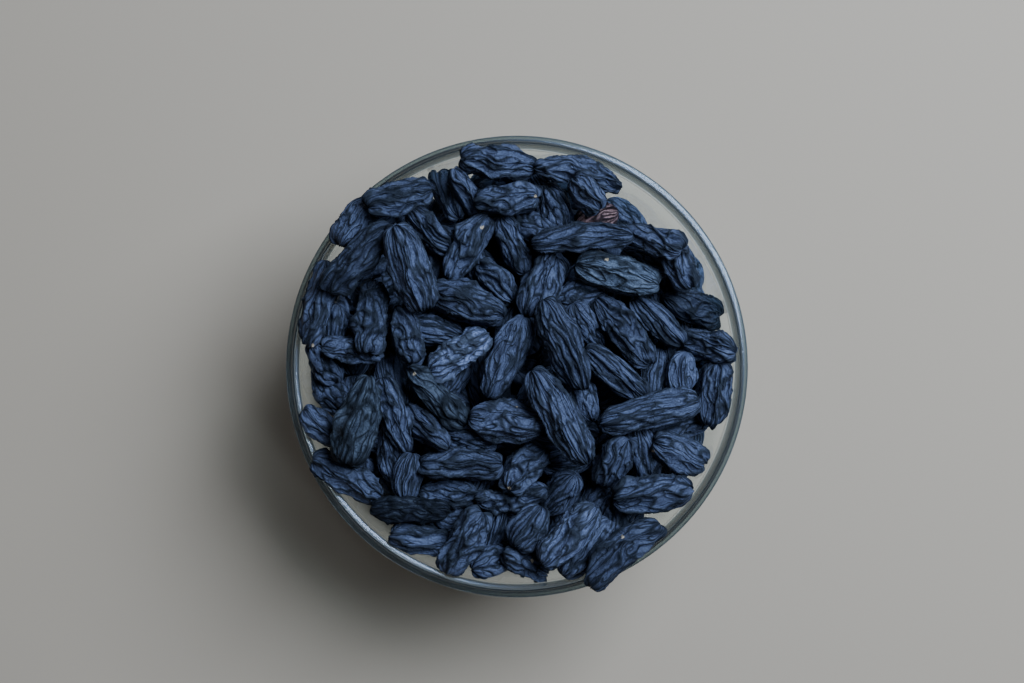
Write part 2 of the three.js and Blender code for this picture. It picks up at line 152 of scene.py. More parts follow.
# Faces of a raisin: segments round it and rings along it
CROWN_FACES = (90, 58)
UNDER_FACES = (64, 32)
WALL_FACES = (40, 22)
INNER_FACES = (16, 10)
CROWDING_ROUND = 0.55  # how strongly the segments crowd towards the side that is seen
CROWDING_ALONG = 0.12  # how strongly the rings crowd towards the middle
TIP_FADE = 0.3  # share of the half girth below which the wrinkles fade out towards the tips

# Wrinkles: how deep or high they are, and their spans along and across, in millimetres
FOLD_SPAN = (13, 3.3)
WRINKLE_SPAN = (6, 1.3)
CREASE_SPAN = (3, 0.85)
HOLLOW_SPAN = (6.5, 4.5)
HOLLOW_DEPTH = 2
MEANDERS = ((7, 1.4), (2.6, 0.4))  # spans of the waves that bend the wrinkles, and how far they do
PATCH_SPAN = 5  # of the patches that are more or less wrinkled
PATCHINESS = 1.1
LINE_NOISES = np.array((0.18, 0.26, 0.38))  # size of the noise where a fold, wrinkle or crease ends
LINE_SHARPNESS = 0.85
SKIN_SHIFT = 0.4  # how far the whole skin moves along its normals
STYLES = {
    "folded": {"fold": 0.8, "wrinkle": 0.42, "crease": 0.12, "hollow": 1.1, "meander": 1, "drawn": 1},
    "ribbed": {"fold": 0.6, "wrinkle": 0.6, "crease": 0.1, "hollow": 0.8, "meander": 0.6, "drawn": 1.8},
    "crumpled": {"fold": 0.9, "wrinkle": 0.5, "crease": 0.15, "hollow": 1.2, "meander": 1.2, "drawn": 0.6},
    "smooth": {"fold": 0.5, "wrinkle": 0.25, "crease": 0.08, "hollow": 1.1, "meander": 1, "drawn": 1.4},
}
FOLDED_DEPTHS = np.array([STYLES["folded"][name] for name in ("fold", "wrinkle", "crease")])
CROWN_STYLES = {
    "ribbed": (13, 26, 30, 50, 52, 53, 54, 56),
    "crumpled": (6, 14, 20, 29, 31, 40, 42, 46),
    "smooth": (3, 12, 16, 55),
}
GREY_RAISINS = (44, 48, 58)
BROWN_RAISINS = (8,)
FILLING_STYLES = ("folded", "ribbed", "folded", "crumpled")

# Seeds of the skins' draws, and how far they shift a noise
CROWN_SEED = 1000
FILLING_SEED = 2000
SEEDS_APART = 500
SHIFTS = 12  # drawn for each raisin
NOISE_SHIFT = 200
FLOW_SHIFT = 500

# How much lighter or darker the skins of some raisins are made against the rest: partly their own paler or
# darker skin, partly painted shade and painted light that make a raisin as dark or bright as it is lit
TONES_AND_PAINTED_LIGHT = {
    1: 0.35, 12: 1.3, 21: 0.8, 22: 0.15, 25: 0.45, 37: 1.65, 39: 0.75, 40: 0.75, 42: 2.5, 44: 0.55, 45: 0.8,
    47: 1.1, 48: 1.35, 49: 0.7, 50: 1.05, 51: 0.85, 53: 1.2, 54: 0.75, 55: 1.15, 57: 0.65, 58: 0.6,
}

# Where a stalk broke off, by raisin: x, y as seen from above
STALK_SCARS = {
    48: (23, 27.5), 47: (0, -10), 58: (-26.5, -1.8), 41: (-9, 36), 38: (4.8, 44), 49: (27, -43.5),
    46: (-2, -31.3), 28: (35, -21.8), 14: (4, -50.5), 5: (-52.5, 5.5),
}
NO_SCAR = 99  # a distance that is too far away for a scar to show

# The skin's noises: features in a millimetre along the raisin and across it, and how detailed they are
SWAY = ((0.4, 0.5, 0.5), 1)
HAIR_CREASES = ((0.4, 1.5, 1.5), 1.5)
GRAIN = ((1.9, 2.6, 2.6), 3)
BLOOM_PATCHES = ((0.16, 0.28, 0.28), 2)
HAIR_CREASE_PATCHES = ((0.2, 0.3, 0.3), 1)
NOISE_ROUGHNESS = 0.55
NOISE_MIDDLE = 0.5
SWAY_REACH = 2.4

# How far the lines reach that are darkened with painted shade, in the values of the noises that they follow
FOLD_LINE = 0.17
WRINKLE_LINE = 0.2
CREASE_LINE = 0.24
HAIR_LINE = 0.09
LINE_FLANK = (0.2, 0.8)  # where on that reach the flank of a line begins and ends

# What the noises and lines do to the skin: two points of a slope, each a value and the share that it gives
BLOOM_SLOPE = ((0.42, 0), (0.72, 1))
HAIR_CREASE_SLOPE = ((0.38, 0.1), (0.62, 1))
CREASE_SHADE = ((0, 0.45), (0.8, 1))
HAIR_SHADE = ((0, 0.55), (0.9, 1))
GRAIN_SHADE = ((0.3, 0.55), (0.7, 1.1))
SCAR_SLOPE = ((0.75, 1), (0.98, 0))
SCAR_FRAY = 0.9
CREASE_SHARES_TOTAL = 1.2  # of the creases' share and the hair creases' share

# Relief of the skin, too fine for its faces
RELIEF = 0.06  # in millimetres, for a height of 1
GRAIN_RELIEF = 1.8
HAIR_RELIEF = 1.6
CREASE_RELIEF = 2
WRINKLE_RELIEF = 2.4
FOLD_RELIEF = 2.6

# Colours and gloss of the skin. Each colour gives the skin, the painted shade that darkens the lines of its
# folds and wrinkles, and its bloom
WHITE = (1, 1, 1, 1)
SCAR_COLOUR = (0.42, 0.36, 0.27, 1)
SKIN_COLOURS = {
    "navy": ((0.063, 0.084, 0.156, 1), (0.019, 0.025, 0.04, 1), (0.074, 0.098, 0.178, 1)),
    "grey": ((0.063, 0.088, 0.14, 1), (0.017, 0.023, 0.034, 1), (0.088, 0.118, 0.177, 1)),
    "brown": ((0.18, 0.115, 0.13, 1), (0.02, 0.01, 0.01, 1), (0.25, 0.165, 0.17, 1)),
}
GROOVE_ROUGHNESS = 0.85
RIDGE_ROUGHNESS = 0.5
SKIN_GLOSS = 0.2
SKIN_GLOSS_TINT = (0.55, 0.72, 1, 1)
SKIN_SHEEN = 0.03
SKIN_SHEEN_ROUGHNESS = 0.5
SKIN_SHEEN_TINT = (0.45, 0.6, 1, 1)

# The glass: colours seen through it and mirrored in it, and how much it mirrors and bends
BENT_COLOUR = (0.9, 0.97, 0.95, 1)
GLASS_IOR = 1.5
GLASS_ROUGHNESS = 0.02
WALL_COLOUR = (0.95, 0.98, 0.98, 1)
RIM_COLOUR = (0.66, 0.76, 0.75, 1)
RIM_EDGE_COLOUR = (0.4, 0.5, 0.47, 1)
RIM_EDGE_SLOPE = ((0.1, 0), (0.45, 1))
WALL_MIRROR = (0.85, 0.93, 1, 1)
RIM_MIRROR = (0.5, 0.68, 1, 1)
RIM_BLUR = 0.22  # how much rougher the rim mirrors than the wall
MIRROR_IOR = 1.45
RIM_MIRROR_IOR = 0.25  # how much is added to it in the rim
BENDING_FROM = 0.4  # from facing the eye at 0 to edge on at 1
BENDING_TO = 0.75
RIM_BENDING = 0.3  # share of the rim that bends the view even where it faces the eye
GLEAM = 0.14  # share of the rim that glows in light from behind
GLEAM_COLOUR = (0.6, 0.76, 0.95, 1)


# How the raisins came to lie


def seeded_draw(seed):
    """Numbers from 0 to 1 that come out the same in every run."""
    multiplier, modulus = 48271, 2147483647
    state = seed
    while True:
        state = state * multiplier % modulus
        yield state / modulus


def between(ends, share):
    return ends[0] + (ends[1] - ends[0]) * share


def wall_point(turn, outwards=0):
    """A point of the wall's inside, from the floor's edge at turn 0 to the mouth at 90 degrees."""
    across = MOUTH_RADIUS - FLOOR_RADIUS
    up = BEAD_MIDDLE[1] - FLOOR_HEIGHT
    normal = np.array((math.sin(turn) / across, -math.cos(turn) / up))
    point = np.array((FLOOR_RADIUS + across * math.sin(turn), BEAD_MIDDLE[1] - up * math.cos(turn)))
    return point + normal / np.linalg.norm(normal) * outwards


def inside_section(top, count):
    """The wall's inside from a turn below the mouth down to the middle of the floor."""
    wall = [wall_point(turn) for turn in np.linspace(top * DEGREE, 0, count)]
    return wall + [np.array((0, FLOOR_HEIGHT))]


def arc(middle, radius, start, end, count):
    """Points of an arc from one turn to another, in degrees."""
    turns = np.linspace(start * DEGREE, end * DEGREE, count)
    return [np.array(middle) + radius * np.array((math.cos(t), math.sin(t))) for t in turns]


def rim_section():
    """The wall's edge: a wide arc on top, a tighter one on either side, the CAD solid's bead below them."""
    aside = BEAD_RADIUS - RIM_CORNER
    lean = math.asin(aside / (RIM_TOP - RIM_CORNER)) / DEGREE
    x = BEAD_MIDDLE[0]
    down = BOWL_HEIGHT - RIM_TOP + (RIM_TOP - RIM_CORNER) * math.cos(lean * DEGREE)
    top_start, top_end = RIGHT_ANGLE - lean, RIGHT_ANGLE + lean
    return [
        *arc(BEAD_MIDDLE, BEAD_RADIUS, *RIM_OUTER_FLANK),
        *arc((x + aside, down), RIM_CORNER, 0, top_start, RIM_CORNER_POINTS),
        *arc((x, BOWL_HEIGHT - RIM_TOP), RIM_TOP, top_start, top_end, RIM_TOP_POINTS)[1:-1],
        *arc((x - aside, down), RIM_CORNER, top_end, HALF_TURN, RIM_CORNER_POINTS),
        *arc(BEAD_MIDDLE, BEAD_RADIUS, *RIM_INNER_FLANK),
    ]


def glass_points():
    """The glass that a raisin can come to rest on, as closely spaced points of the CAD solid's section."""
    section = arc(BEAD_MIDDLE, BEAD_RADIUS, *SOLID_BEAD) + inside_section(*SOLID_INSIDE)
    found = []
    for start, end in zip(section, section[1:]):
        pieces = math.ceil(np.linalg.norm(end - start) / GLASS_SPACING)
        found += [start + (end - start) * i / pieces for i in range(pieces + 1)]
    return np.array(found)


def girth(along):
    return np.maximum(0, 1 - along * along) ** END_BLUNTNESS


def axes_of(turn, tilt):
    """A raisin's long and wide directions."""
    turn, tilt = turn * DEGREE, tilt * DEGREE
    long = np.array((math.cos(turn) * math.cos(tilt), math.sin(turn) * math.cos(tilt), math.sin(tilt)))
    wide = np.array((-math.sin(turn), math.cos(turn), 0))
    return long, wide


def balls_of(long, wide):
    """Balls that together fill a raisin's outline: how far along and aside they stand, and their radii."""
    half = long / 2
    half_thick = wide * FLATNESS / 2
    reach = half - END_BALL * half_thick
    rows = []
    for station in BALL_STATIONS:
        share = girth(station * reach / half)
        radius = min(half_thick * share, half - abs(station) * reach)
        aside = (wide / 2 - half_thick) * share
        rows += [(station * reach, offset, radius) for offset in (-aside, aside)]
    return np.array(rows)


def posed(balls, turn, tilt):
    """The balls' centres and radii when the raisin is turned and tilted about its middle."""
    long_axis, wide_axis = axes_of(turn, tilt)
    centres = np.outer(balls[:, 0], long_axis) + np.outer(balls[:, 1], wide_axis)
    return np.column_stack((centres, balls[:, 2]))


GLASS = glass_points()
laid = {"balls": np.zeros((0, 4)), "middles": np.zeros((0, 3))}


def dome_height(from_axis):
    """How high the filling reaches at this distance from the bowl's axis."""
    return EDGE_HEIGHT + DOME_RISE * (1 - (from_axis / DOME_RADIUS) ** 2)


def resting_height(balls, x, y, near):
    """How high a raisin's middle comes to rest when it sinks straight down at x, y."""
    bx, by = x + balls[:, 0], y + balls[:, 1]
    from_axis = np.hypot(bx, by)
    rise = (balls[:, 3, None] + GLASS_GAP) ** 2 - (from_axis[:, None] - GLASS[:, 0]) ** 2
    touch = np.where(rise > 0, GLASS[:, 1] + np.sqrt(np.maximum(rise, 0)) - balls[:, 2, None], -np.inf)
    height = touch.max()
    if len(near):
        rise = (balls[:, 3, None] + near[:, 3] + PRESSED) ** 2
        rise -= (bx[:, None] - near[:, 0]) ** 2 + (by[:, None] - near[:, 1]) ** 2
        touch = np.where(rise > 0, near[:, 2] + np.sqrt(np.maximum(rise, 0)) - balls[:, 2, None], -np.inf)
        height = max(height, touch.max())
    return height


def settle(x, y, turn, long, wide, tilts):
    """The tilt and height in which a raisin comes to rest."""
    middles = laid["middles"]
    away = np.hypot(middles[:, 0] - x, middles[:, 1] - y)
    close = away < (middles[:, 2] + long) / 2 + REACH_MARGIN
    near = laid["balls"][np.repeat(close, 2 * len(BALL_STATIONS))]
    balls = balls_of(long, wide)
    best = None
    for tilt in tilts:
        z = resting_height(posed(balls, turn, tilt), x, y, near)
        effort = z + TILT_EFFORT * long / 2 * abs(math.sin(tilt * DEGREE))
        if best is None or effort < best["effort"]:
            best = {"x": x, "y": y, "z": z, "turn": turn, "tilt": tilt, "long": long, "wide": wide,
                    "effort": effort}
    return best


def lay_down(raisin):
    balls = posed(balls_of(raisin["long"], raisin["wide"]), raisin["turn"], raisin["tilt"])
    balls[:, :3] += (raisin["x"], raisin["y"], raisin["z"])
    laid["balls"] = np.vstack((laid["balls"], balls))
    laid["middles"] = np.vstack((laid["middles"], (raisin["x"], raisin["y"], raisin["long"])))
    return raisin


def drop_at_random(long, wide, draw):
    """A raisin of this size dropped at a random spot, or None where the wall stays clear."""
    from_axis = (MOUTH_RADIUS - wide / 2) * math.sqrt(next(draw))
    bearing = HALF_TURN * (2 * next(draw) - 1)
    share = next(draw)
    turn = HALF_TURN * share if from_axis < ALONG_WALL else bearing + between(TURN_AT_WALL, share)
    if any(from_axis > beyond and abs(bearing - middle) < spread for middle, spread, beyond in CLEAR_WALL):
        return None
    x, y = from_axis * math.cos(bearing * DEGREE), from_axis * math.sin(bearing * DEGREE)
    raisin = settle(x, y, turn, long, wide, POURED_TILTS)
    return {**raisin, "below_dome": dome_height(from_axis) - raisin["z"]}


def pour_filling():
    """Raisins poured in one by one, each into the deepest hollow that it finds."""
    draw = seeded_draw(POUR_SEED)
    poured = []
    misses = 0
    while misses < MISSES_ALLOWED:
        long = between(POURED_LONG, next(draw))
        wide = between(POURED_WIDE, next(draw))
        found = [drop_at_random(long, wide, draw) for _ in range(SPOTS_TRIED)]
        deepest = max((f for f in found if f), key=lambda f: f["below_dome"])
        if deepest["below_dome"] > wide / 2:
            poured.append(lay_down(deepest))
            misses = 0
        else:
            misses += 1
    return poured


# The raisins' skins


def noise_at(points, spans, shift):
    """Smooth noise from about -1 to 1 at points in millimetres, with its own span in each direction."""
    return np.array([noise.noise(p) for p in (points / spans + shift).tolist()])


def valleys(values):
    """0 well away from where the noise changes sign, down to a sharp -1 along that line."""
    return np.minimum(1, np.abs(values) / LINE_NOISES) ** LINE_SHARPNESS - 1


def wrinkle(flow, style, random):
    """How far the skin moves along its normal at each point, and the noises of its folds and finer lines."""
    shifts = random.uniform(-NOISE_SHIFT, NOISE_SHIFT, (SHIFTS, 3))
    drawn = style["drawn"]
    bent = flow.copy()
    for row, (span, reach) in enumerate(MEANDERS):
        for axis in range(3):
            meander = noise_at(flow, np.full(3, span), shifts[3 * row + axis])
            bent[:, axis] += style["meander"] * reach * meander
    narrow = drawn ** -0.5  # wrinkles that are drawn out get narrower
    spans = [np.array((along * drawn, across * narrow, across * narrow))
             for along, across in (FOLD_SPAN, WRINKLE_SPAN, CREASE_SPAN)]
    noises = np.column_stack([noise_at(bent, span, shift) for span, shift in zip(spans, shifts[6:9])])
    depths = np.array((style["fold"], style["wrinkle"], style["crease"]))
    patches = 1 + PATCHINESS * noise_at(flow, np.full(3, PATCH_SPAN), shifts[9])
    hollow = np.minimum(0, noise_at(flow, np.array((*HOLLOW_SPAN, HOLLOW_SPAN[1])), shifts[10]))
    sunk = valleys(noises) * depths
    sunk[:, 1:] *= patches[:, None]
    return SKIN_SHIFT + sunk.sum(1) + HOLLOW_DEPTH * style["hollow"] * hollow, noises * FOLDED_DEPTHS / depths


def crowded(mesh):
    """Where the vertices of a round mesh go on a raisin: the turn from tip to tip and the turn round it."""
    co = vertices_of(mesh)
    phi = np.arccos(np.clip(co[:, 2], -1, 1))
    theta = np.arctan2(co[:, 1], co[:, 0])
    return phi + CROWDING_ALONG * np.sin(2 * phi), theta - CROWDING_ROUND * np.sin(theta)


def vertices_of(mesh):
    co = np.zeros(len(mesh.vertices) * 3)
    mesh.vertices.foreach_get("co", co)
    return co.reshape(-1, 3)


def normals_of(mesh):
    normals = np.zeros(len(mesh.vertices) * 3)
    mesh.vertices.foreach_get("normal", normals)
    return normals.reshape(-1, 3)


def round_mesh(name, faces, copies):
    """That many unit spheres in one mesh, with their poles up and down."""
    shape = bmesh.new()
    bmesh.ops.create_uvsphere(shape, u_segments=faces[0], v_segments=faces[1], radius=1)
    for face in shape.faces:
        face.smooth = True
    mesh = bpy.data.meshes.new(name)
    shape.to_mesh(mesh)
    for _ in range(copies - 1):
        shape.from_mesh(mesh)
    if copies > 1:
        shape.to_mesh(mesh)
    shape.free()
    return mesh


def put_vertices(mesh, co):
    mesh.vertices.foreach_set("co", (co * MM).ravel())
    mesh.update()


def rings_of(node):
    """The rings of a CAD raisin from tip to tip, 12 points each, and its axis, up and side directions."""
    shape = bmesh.new()
    shape.from_mesh(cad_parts[node].data)
    bmesh.ops.remove_doubles(shape, verts=shape.verts, dist=WELD)
    tips = [v for v in shape.verts if len(v.link_edges) == RING_POINTS]
    seen = {tips[0]}
    rings = []
    ring = [tips[0]]
    for _ in range(RINGS):
        ring = list({e.other_vert(v) for v in ring for e in v.link_edges} - seen)
        seen.update(ring)
        rings.append(np.array([v.co[:] for v in ring]) / MM)
    first, last = (np.array(tip.co[:]) / MM for tip in tips)
    shape.free()
    axis = (last - first) / np.linalg.norm(last - first)
    up = np.array((0, 0, 1)) - axis[2] * axis
    up /= np.linalg.norm(up)
    side = np.cross(axis, up)
    middle = RINGS // 2
    order = list(range(middle, -1, -1)) + list(range(middle + 1, RINGS))
    angles = {}
    for k in order:
        offset = rings[k] - rings[k].mean(0)
        angle = np.arctan2(offset @ side, offset @ up)
        sort = np.argsort(angle)
        angle = angle[sort]
        if k != middle:
            reference = angles[k + 1] if k < middle else angles[k - 1]
            misfits = [np.abs(np.exp(1j * np.roll(angle, -s)) - np.exp(1j * reference)).sum()
                       for s in range(RING_POINTS)]
            shift = int(np.argmin(misfits))
            sort, angle = np.roll(sort, -shift), np.roll(angle, -shift)
        rings[k] = rings[k][sort]
        angles[k] = angle
    steps = TURN * np.arange(RING_POINTS) / RING_POINTS
    start = np.angle(np.exp(1j * (angles[middle] - steps)).mean())
    return first, rings, last, axis, start


def crown_form(node, phi, theta):
    """A smooth skin through the points of a CAD raisin, and where on the raisin each of its points lies.

    Its faces look into the raisin, so all that wrinkle sinks along the normals stands out there: the lines of
    the folds, wrinkles and creases are sharp ridges, and the hollows are swellings.
    """
    first, rings, last, axis, start = rings_of(node)
    rows = [np.tile(first, (RING_POINTS, 1)), *rings, np.tile(last, (RING_POINTS, 1))]
    rows += [np.roll(ring, RING_POINTS // 2, axis=0) for ring in reversed(rings)]
    waves = np.fft.fft2(np.array(rows), axes=(0, 1)) / len(rows) / RING_POINTS
    pleat = RING_POINTS // 2
    waves[:, pleat] *= KEPT_PLEAT
    counts = np.fft.fftfreq(RING_POINTS, 1 / RING_POINTS)

    def swing(turns):
        parts = np.exp(1j * turns[:, None] * counts)
        parts[:, pleat] = np.cos(pleat * turns)
        return parts

    around = swing(theta - start)
    co = np.einsum("na,abc,nb->nc", swing(phi), waves, around).real
    middle = (first + last) / 2
    radius = np.mean([np.linalg.norm(p - rings[RINGS // 2].mean(0)) for p in rings[RINGS // 2]])
    flow = np.column_stack(((co - middle) @ axis, radius * np.cos(theta), radius * np.sin(theta)))
    return co, flow


def poured_form(raisin, phi, theta):
    """The same for a raisin of the filling, whose seen side faces out of the bowl.

    Its faces look outwards, and the lines of its folds, wrinkles and creases are grooves.
    """
    long_axis, wide_axis = axes_of(raisin["turn"], raisin["tilt"])
    thick_axis = np.cross(long_axis, wide_axis)
    along = -np.cos(phi)
    share = girth(along)
    outwards = np.array((raisin["x"], raisin["y"], raisin["z"] - EDGE_HEIGHT / 2))
    seen = math.atan2(outwards @ wide_axis, outwards @ thick_axis)
    side = theta + seen
    radius = raisin["wide"] * FILLING_SWELL / 2
    aside = radius * share * np.sin(side)
    above = radius * FLATNESS * share * np.cos(side)
    co = np.array((raisin["x"], raisin["y"], raisin["z"])) + np.outer(raisin["long"] / 2 * along, long_axis)
    co += np.outer(aside, wide_axis) + np.outer(above, thick_axis)
    flow = np.column_stack((raisin["long"] / 2 * along, radius * np.cos(side), radius * np.sin(side)))
    return co, flow


def write_attribute(mesh, name, values):
    kind = "FLOAT_VECTOR" if values.ndim > 1 else "FLOAT"
    field = "vector" if values.ndim > 1 else "value"
    mesh.attributes.new(name, kind, "POINT").data.foreach_set(field, values.astype(np.float32).ravel())


def skin_piece(name, faces, forms, styles, seeds, tone_and_painted_light=1, scar=None):
    """One piece of one or more raisins. forms are functions of the two turns, one for each raisin."""
    mesh = round_mesh(name, faces, len(forms))
    size = len(mesh.vertices) // len(forms)
    owned = [slice(i * size, (i + 1) * size) for i in range(len(forms))]
    phi, theta = crowded(mesh)
    parts = [form(phi[own], theta[own]) for form, own in zip(forms, owned)]
    co = np.vstack([part[0] for part in parts])
    put_vertices(mesh, co)
    normals = normals_of(mesh)
    noises, flows = [], []
    for own, (_, flow), style, seed in zip(owned, parts, styles, seeds):
        random = np.random.RandomState(seed)
        clear_of_line_shade, values = wrinkle(flow, STYLES[style], random)
        fade = np.minimum(1, np.sin(phi[own]) / TIP_FADE)
        co[own] += normals[own] * (clear_of_line_shade * fade)[:, None]
        noises.append(values)
        flows.append(flow + random.uniform(-FLOW_SHIFT, FLOW_SHIFT, 3))
    put_vertices(mesh, co)
    write_attribute(mesh, "creasing", np.vstack(noises))
    write_attribute(mesh, "flow", np.vstack(flows))
    away = np.full(len(co), float(NO_SCAR))
    if scar:
        away = np.hypot(co[:, 0] - scar[0], co[:, 1] - scar[1])
        away[co[:, 2] < co[:, 2].mean()] = NO_SCAR
    write_attribute(mesh, "from_scar", away)
    write_attribute(mesh, "tone_and_painted_light", np.full(len(co), float(tone_and_painted_light)))
    piece = bpy.data.objects.new(name, mesh)
    bpy.context.scene.collection.objects.link(piece)
    return piece


# Materials


def feed(tree, socket, value):
    """Links a socket to another one, or sets it to a plain value."""
    if isinstance(value, bpy.types.NodeSocket):
        tree.links.new(value, socket)
    else:
        socket.default_value = value


def set_inputs(tree, node, values):
    for key, value in values.items():
        feed(tree, node.inputs[key], value)


def maths(tree, operation, *values):
    node = tree.nodes.new("ShaderNodeMath")
    node.operation = operation
    set_inputs(tree, node, dict(enumerate(values)))
    return node.outputs[0]


def vector_maths(tree, operation, *values):
    node = tree.nodes.new("ShaderNodeVectorMath")
    node.operation = operation
    set_inputs(tree, node, dict(enumerate(values)))
    return node.outputs[0]


def attribute(tree, name, output):
    node = tree.nodes.new("ShaderNodeAttribute")
    node.attribute_name = name
    return node.outputs[output]


def noise_texture(tree, place, features, detail, output="Fac"):
    """Noise with its own number of features in a millimetre in each direction."""
    texture = tree.nodes.new("ShaderNodeTexNoise")
    stretched = vector_maths(tree, "MULTIPLY", place, features)
    set_inputs(tree, texture, {
        "Vector": stretched, "Scale": 1, "Detail": detail, "Roughness": NOISE_ROUGHNESS,
    })
    return texture.outputs[output]


def ramp(tree, source, stops):
    """A grey that follows a value along a slope."""
    node = tree.nodes.new("ShaderNodeValToRGB")
    elements = node.color_ramp.elements
    while len(elements) < len(stops):
        elements.new(0.5)
    for element, (position, grey) in zip(elements, stops):
        element.position = position
        element.color = (grey, grey, grey, 1)
    feed(tree, node.inputs["Fac"], source)
    return node.outputs["Color"]


def mix_colours(tree, share, first, second, blend="MIX"):
    node = tree.nodes.new("ShaderNodeMix")
    node.data_type = "RGBA"
    node.blend_type = blend
    set_inputs(tree, node, {0: share, 6: first, 7: second})
    return node.outputs[2]


def ridges_of(tree, signed, width):
    """0 along the lines where a noise changes sign, 1 beyond their flanks."""
    start, end = LINE_FLANK
    return ramp(tree, maths(tree, "ABSOLUTE", signed), ((width * start, 0), (width * end, 1)))


def build_skin_group():
    """Dried skin: satin, with painted shade along the lines of its folds and wrinkles and in its fine
    creases, and a pale scar. Its tone also carries painted light and shade.
    """
    group = bpy.data.node_groups.new("dried_skin", "ShaderNodeTree")
    for name in ("Ridge", "Painted line shade", "Bloom"):
        group.interface.new_socket(name, in_out="INPUT", socket_type="NodeSocketColor")
    for name, kind in (("Colour", "Color"), ("Roughness", "Float"), ("Height", "Float")):
        group.interface.new_socket(name, in_out="OUTPUT", socket_type=f"NodeSocket{kind}")
    given = group.nodes.new("NodeGroupInput").outputs
    result = group.nodes.new("NodeGroupOutput")
    apart = group.nodes.new("ShaderNodeSeparateXYZ")
    feed(group, apart.inputs[0], attribute(group, "creasing", "Vector"))
    flow = attribute(group, "flow", "Vector")

    folds = ridges_of(group, apart.outputs["X"], FOLD_LINE)
    wrinkles = ridges_of(group, apart.outputs["Y"], WRINKLE_LINE)
    creases = ridges_of(group, apart.outputs["Z"], CREASE_LINE)
    sway = vector_maths(group, "SUBTRACT", noise_texture(group, flow, *SWAY, "Color"), (NOISE_MIDDLE,) * 3)
    swayed = vector_maths(group, "ADD", flow, vector_maths(group, "MULTIPLY", sway, (SWAY_REACH,) * 3))
    lines = maths(group, "SUBTRACT", noise_texture(group, swayed, *HAIR_CREASES), NOISE_MIDDLE)
    hair_creases = ridges_of(group, lines, HAIR_LINE)
    grain = noise_texture(group, flow, *GRAIN)
    patches = noise_texture(group, flow, *BLOOM_PATCHES)

    # Painted shade: where this mask is 0, along the lines of the folds and wrinkles, the skin takes the
    # darker colour of painted shade
    clear_of_line_shade = maths(group, "MULTIPLY", folds, wrinkles)
    skin = mix_colours(group, clear_of_line_shade, given["Painted line shade"], given["Ridge"])
    dusty = maths(group, "MULTIPLY", ramp(group, patches, BLOOM_SLOPE), clear_of_line_shade)
    bloomed = mix_colours(group, dusty, skin, given["Bloom"])
    # Patches that share out the painted shade and the relief between the creases and the fine hair creases
    hair_crease_share = ramp(group, noise_texture(group, flow, *HAIR_CREASE_PATCHES), HAIR_CREASE_SLOPE)
    crease_share = maths(group, "SUBTRACT", CREASE_SHARES_TOTAL, hair_crease_share)
    # Painted shade: the skin is darkened in the creases and in the hair creases
    creased = mix_colours(group, crease_share, bloomed, ramp(group, creases, CREASE_SHADE), "MULTIPLY")
    lined = mix_colours(group, hair_crease_share, creased, ramp(group, hair_creases, HAIR_SHADE), "MULTIPLY")
    grained = mix_colours(group, 1, lined, ramp(group, grain, GRAIN_SHADE), "MULTIPLY")
    scar_edge = maths(group, "MULTIPLY_ADD", grain, SCAR_FRAY, attribute(group, "from_scar", "Fac"))
    scarred = ramp(group, scar_edge, SCAR_SLOPE)
    # Painted light and shade: each raisin's skin is made lighter or darker by its tone, which also holds its
    # own paler or darker skin
    toned_with_painted_light = mix_colours(group, 1, grained, attribute(group, "tone_and_painted_light", "Fac"), "MULTIPLY")
    feed(group, result.inputs["Colour"], mix_colours(group, scarred, toned_with_painted_light, SCAR_COLOUR))

    rough = group.nodes.new("ShaderNodeMapRange")
    set_inputs(group, rough, {"Value": clear_of_line_shade, "To Min": GROOVE_ROUGHNESS, "To Max": RIDGE_ROUGHNESS})
    feed(group, result.inputs["Roughness"], rough.outputs["Result"])
    height = maths(group, "MULTIPLY", grain, GRAIN_RELIEF)
    reliefs = (
        (mix_colours(group, hair_crease_share, WHITE, hair_creases), HAIR_RELIEF),
        (mix_colours(group, crease_share, WHITE, creases), CREASE_RELIEF),
        (wrinkles, WRINKLE_RELIEF),
        (folds, FOLD_RELIEF),
    )
    for source, share in reliefs:
        height = maths(group, "MULTIPLY_ADD", source, share, height)
    feed(group, result.inputs["Height"], height)
    return group


def raisin_material(name, group):
    material = bpy.data.materials.new(f"{name}_skin")
    material.use_nodes = True
    tree = material.node_tree
    skin = tree.nodes.new("ShaderNodeGroup")
    skin.node_tree = group
    set_inputs(tree, skin, dict(zip(("Ridge", "Painted line shade", "Bloom"), SKIN_COLOURS[name])))
    bump = tree.nodes.new("ShaderNodeBump")
    set_inputs(tree, bump, {"Strength": 1, "Distance": RELIEF * MM, "Height": skin.outputs["Height"]})
    set_inputs(tree, tree.nodes["Principled BSDF"], {
        "Base Color": skin.outputs["Colour"],
        "Roughness": skin.outputs["Roughness"],
        "Normal": bump.outputs["Normal"],
        "Specular IOR Level": SKIN_GLOSS,
        "Specular Tint": SKIN_GLOSS_TINT,
        "Sheen Weight": SKIN_SHEEN,
        "Sheen Roughness": SKIN_SHEEN_ROUGHNESS,
        "Sheen Tint": SKIN_SHEEN_TINT,
    })
    return material


def mix_shaders(tree, share, first, second):
    node = tree.nodes.new("ShaderNodeMixShader")
    set_inputs(tree, node, {0: share, 1: first, 2: second})
    return node.outputs["Shader"]


def rim_mask(tree):
    """0 in the glass of the wall, 1 in that of the rim."""
    place = tree.nodes.new("ShaderNodeSeparateXYZ")
    feed(tree, place.inputs[0], tree.nodes.new("ShaderNodeTexCoord").outputs["Object"])
    mask = tree.nodes.new("ShaderNodeMapRange")
    set_inputs(tree, mask, {
        "Value": place.outputs["Z"], "From Min": RIM_LOWER_EDGE * MM, "From Max": BEAD_MIDDLE[1] * MM,
    })
    return mask.outputs["Result"]


